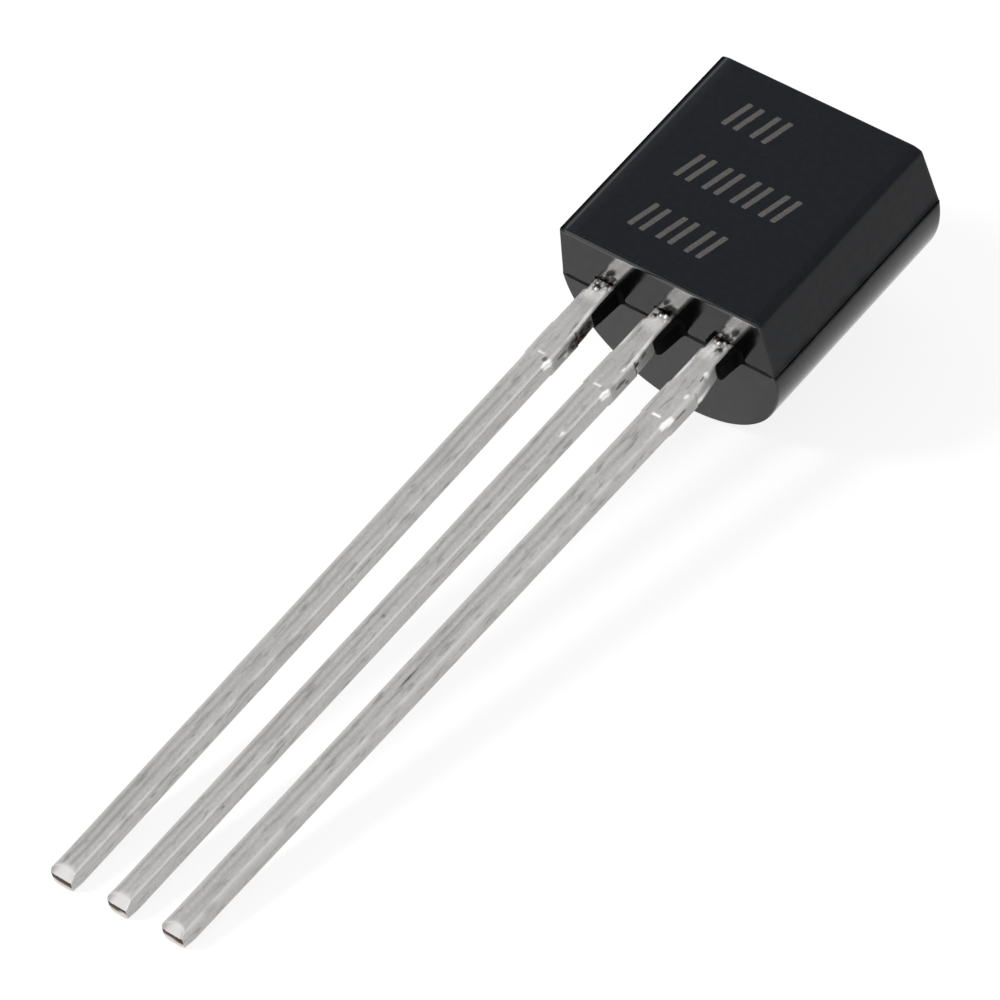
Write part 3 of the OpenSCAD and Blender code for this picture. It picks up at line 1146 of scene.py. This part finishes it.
# Dark bands of painted shade along a lead: place round it, half the width, and strength. Their
# drift to either side, and their share where they are weakest
SHADE_BANDS = [(0.19, 0.13, 1.0), (0.56, 0.15, 1.0), (1.0, 0.1, 0.3)]
BAND_DRIFT = 0.05
BAND_LEAST = 0.3


def grained_finish(name, grain, colours, roughness, relief=0.0, **constants):
    """A finish whose colour, roughness and relief one noise varies."""
    finish = Finish(name, **constants)
    noise = finish.noise(**grain)
    finish.set("Base Color", finish.mix(noise, *colours))
    finish.set("Roughness", finish.spread(noise, *roughness))
    if relief:
        finish.relief(noise, relief)
    return finish.material


def moulding_finish(name, colours):
    """Black moulding compound, its colour, and its gloss as a share of its specular level."""
    finish = Finish(name)
    grain = finish.noise(22, detail=4, roughness=0.7)
    base = finish.mix(finish.remap(grain, 0.35, 0.65, 0.2, 0.8), *colours)
    gloss = finish.spread(finish.noise(7, detail=5), 0.9, 1.1)
    finish.set("Base Color", base)
    finish.set("Roughness", finish.spread(grain, 0.12, 0.15))
    finish.relief(grain, 0.0006)
    return finish, base, gloss


def epoxy_finish():
    """The moulding's sides and flat face, with painted shade and painted highlights where the mesh
    says so.
    """
    finish, base, gloss = moulding_finish("black_epoxy", SIDE_COLOURS)
    # Painted shade darkens and dulls the moulding, and painted highlight makes it glossier
    dull_and_painted_shade = finish.mask("dull_and_painted_shade")
    gloss = finish.between(gloss, HIGHLIGHT_GLOSS / SIDE_GLOSS, finish.mask("painted_highlight_gloss"))
    gloss = finish.between(gloss, SHADE_GLOSS / SIDE_GLOSS, dull_and_painted_shade)
    finish.set("Base Color", finish.mix(dull_and_painted_shade, base, PAINTED_SHADE_COLOUR))
    finish.set("Specular IOR Level", finish.math("MULTIPLY", SIDE_GLOSS, gloss))
    finish.set("Roughness", finish.between(SIDE_ROUGHNESS, SHADE_ROUGHNESS, dull_and_painted_shade))
    return finish.material


def end_finish():
    """The moulding's ends, a little duller to the right."""
    finish, _, gloss = moulding_finish("end_epoxy", END_COLOURS)
    across = finish.node("SeparateXYZ", {0: finish.place()})
    gloss = finish.math("MULTIPLY", gloss, finish.remap(across, *END_GLOSS_LOSS_X, 1, 1 - END_GLOSS_LOSS))
    finish.set("Specular IOR Level", finish.math("MULTIPLY", END_GLOSS, gloss))
    return finish.material


def flash_finish(name, level):
    """Rough skin of the flash and of the parting line."""
    finish = Finish(name, Specular_IOR_Level=level)
    finish.set("Base Color", finish.mix(finish.noise(12), grey(0.0015), grey(0.0035)))
    finish.set("Roughness", finish.spread(finish.noise(9), 0.35, 0.5))
    finish.relief(finish.noise(25), 0.004)
    return finish.material


def ink_finish():
    grain = {"scale": 30, "detail": 3, "roughness": 0.7}
    colours = grey(0.03, 0.05), grey(0.17, 0.05)
    return grained_finish("laser_mark", grain, colours, (0.6, 0.8), 0.004, Specular_IOR_Level=0.1)


def painted_shade_bands(finish):
    """Lengthwise bands of painted shade across a lead: dark where 1."""
    drift = finish.spread(finish.noise(0.8), -BAND_DRIFT, BAND_DRIFT)
    around = finish.math("ADD", finish.mask("around"), drift)
    total = 0.0
    for middle, half, strength in SHADE_BANDS:
        away = finish.math("ABSOLUTE", finish.math("SUBTRACT", around, middle))
        total = finish.math("MAXIMUM", total, finish.remap(away, 0, half, strength, 0))
    patches = finish.noise(2.2, detail=4, roughness=0.6, stretch=4)
    total = finish.math("MULTIPLY", total, finish.remap(patches, 0.35, 0.65, 0.35, 1.2))
    return finish.math("MULTIPLY", total, finish.between(BAND_LEAST, 1, finish.mask("plain")))


def tin_finish():
    """Tin with streaks, bands of painted shade, clouds, flecks and pits, and wear, dirt, painted
    shade and painted glints where the mesh says so.
    """
    finish = Finish("tinned_copper_alloy", Metallic=1.0)
    streaks = finish.noise(20, detail=2, stretch=80)
    grain = finish.noise(24, detail=3, roughness=0.7, stretch=1.5)
    pits = finish.noise(30, detail=2, stretch=3)
    flecks = finish.noise(11, detail=3, roughness=0.6, stretch=5)
    clouds = finish.noise(2.5, detail=2, stretch=2)
    # Textures that darken it: a range of values, the shares at its ends, and the colour
    layers = [
        (streaks, NOISE_RANGE, (0.2, 0), TIN_DARK),
        (grain, NOISE_RANGE, (0.4, 0), TIN_DARK),
        (painted_shade_bands(finish), (0, 1.2), (0, 0.84), TIN_DARK),
        (clouds, (0.45, 0.8), (0, 0.3), TIN_DARK),
        (flecks, (0.56, 0.68), (0, 0.6), FLECK),
        (pits, (0.68, 0.76), (0, 0.4), PIT),
    ]
    base = TIN_LIGHT
    for texture, values, shares, colour in layers:
        base = finish.mix(finish.remap(texture, *values, *shares), base, colour)
    sheared = finish.mask("sheared")
    # The darkening mask holds dirt and painted shade; the bright one holds wear and painted glints
    dirt_and_shade = finish.math("MULTIPLY", finish.mask("dirt_and_painted_shade"), finish.remap(pits, 0.3, 0.55, 0.5, 1))
    for share, colour in ((sheared, TORN), (dirt_and_shade, DIRT_AND_SHADE_COLOUR), (finish.mask("glint_and_wear"), GLINT_AND_WEAR_TIN)):
        base = finish.mix(share, base, colour)
    finish.set("Base Color", base)
    rolled = finish.spread(streaks, 0.32, 0.28)
    finish.set("Roughness", finish.between(rolled, TORN_ROUGHNESS, sheared))
    finish.relief(finish.noise(16, detail=2, stretch=30), 0.0005)
    return finish.material


def cut_end_finish():
    """Copper laid bare by the shear, with tin drawn over its back edge."""
    finish = Finish("sheared_copper", Metallic=0.6)
    grain = finish.noise(40, detail=3)
    bare = finish.mix(grain, (0.017, 0.006, 0.004, 1), (0.065, 0.027, 0.019, 1))
    back = finish.remap(finish.mask("depth"), 0.45, 0.75, 0, 1)
    finish.set("Base Color", finish.mix(back, bare, grey(0.8, 0.06)))
    finish.set("Roughness", finish.spread(grain, 0.45, 0.6))
    finish.relief(grain, 0.004)
    return finish.material


def silicon_finish():
    colours = (0.20, 0.23, 0.32, 1), (0.32, 0.34, 0.40, 1)
    grain = {"scale": 30, "detail": 1}
    return grained_finish("polished_silicon", grain, colours, (0.08, 0.2), Metallic=1.0)


def bond_finish():
    grain = {"scale": 60, "detail": 4}
    colours = grey(0.35, 0.02), grey(0.6, 0.02)
    return grained_finish("die_bond", grain, colours, (0.45, 0.65), 0.002, Metallic=1.0)


def gold_finish():
    grain = {"scale": 90, "detail": 2}
    colours = (0.75, 0.48, 0.12, 1), (0.95, 0.68, 0.25, 1)
    return grained_finish("gold_wire", grain, colours, (0.18, 0.3), Metallic=1.0)


# ---- Stage ----

def strength_between(tree, lighting, shown):
    """One strength for the light that falls on things, and another where it is seen."""
    path = tree.nodes.new("ShaderNodeLightPath").outputs
    seen = path["Is Camera Ray"]
    for name in ("Is Glossy Ray", "Is Transmission Ray"):
        seen = add_node(tree, "Math", {0: seen, 1: path[name]}, operation="MAXIMUM")
    return add_node(tree, "MapRange", {0: seen, 3: lighting, 4: shown})


SKY_LIGHT = 0.58
FLOOR_ALBEDO = 0.2
FLOOR_FILL = 0.85
FLOOR_HALF = 0.3
FLOOR_GAP = 0.005 * MM

# Lamp: strength, width, and where the light comes from
SOFTBOX = (1.6, math.radians(12), Vector((-0.50, -0.52, 0.69)))


def make_world():
    """A white sky that lights the part at a plain level."""
    world = bpy.data.worlds.new("studio")
    bpy.context.scene.world = world
    world.use_nodes = True
    tree = world.node_tree
    inputs = tree.nodes["Background"].inputs
    feed(tree, inputs["Color"], grey(1))
    feed(tree, inputs["Strength"], strength_between(tree, SKY_LIGHT, 1.0))


def make_floor():
    """A pale floor just under the part, white but for the shadows."""
    half = FLOOR_HALF
    mesh = bpy.data.meshes.new("floor")
    corners = [(-half, -half, 0), (half, -half, 0), (half, half, 0), (-half, half, 0)]
    mesh.from_pydata(corners, [], [(0, 1, 2, 3)])
    floor = add_object("floor", mesh)
    floor.location.z = -FLOOR_GAP
    finish = Finish("pale_floor", Roughness=1.0, Specular_IOR_Level=0.0)
    finish.set("Base Color", grey(FLOOR_ALBEDO))
    finish.set("Emission Color", grey(1))
    finish.set("Emission Strength", strength_between(finish.tree, 0.0, FLOOR_FILL))
    mesh.materials.append(finish.material)


def make_lamp(name, strength, angle, direction):
    lamp = bpy.data.lights.new(name, "SUN")
    lamp.energy = strength
    lamp.angle = angle
    sun = add_object(name, lamp)
    sun.rotation_mode = "QUATERNION"
    sun.rotation_quaternion = direction.to_track_quat("Z", "Y")


def make_camera():
    """The camera of the photograph."""
    data = bpy.data.cameras.new("camera")
    data.sensor_width = SENSOR
    data.lens = LENS
    data.clip_start = CLIP_NEAR
    data.clip_end = CLIP_FAR
    camera = add_object("camera", data)
    turn = Matrix.Rotation(CAMERA_AZ, 4, "Z") @ Matrix.Rotation(math.pi / 2 - CAMERA_EL, 4, "X")
    turn @= Matrix.Rotation(CAMERA_ROLL, 4, "Z")
    back = Matrix.Translation((0, 0, CAMERA_DISTANCE))
    camera.matrix_world = Matrix.Translation(AIM) @ turn @ back
    bpy.context.scene.camera = camera


# ---- Everything together ----

def dress(node, material):
    """Gives a CAD node that stays its finish."""
    materials = frame["nodes"][node].data.materials
    materials.clear()
    materials.append(material)


make_world()
make_floor()
make_lamp("softbox", *SOFTBOX)
make_camera()

skins = [flash_finish("groove_skin", GROOVE_GLOSS), flash_finish("flash_skin", FLASH_GLOSS)]
body_shell([epoxy_finish(), end_finish(), *skins, ink_finish()])
lead_skins = [tin_finish(), cut_end_finish()]
lead("left_lead", 0, "emitter_lead", EMITTER_HEAD, lead_skins)
lead("middle_lead", 1, "base_lead", BASE_HEAD, lead_skins)
lead("right_lead", 2, "collector_lead", PADDLE, lead_skins)
dress("die", silicon_finish())
dress("die_attach", bond_finish())
gold = gold_finish()
dress("base_wire", gold)
dress("emitter_wire", gold)

bpy.context.scene.view_settings.view_transform = "Standard"
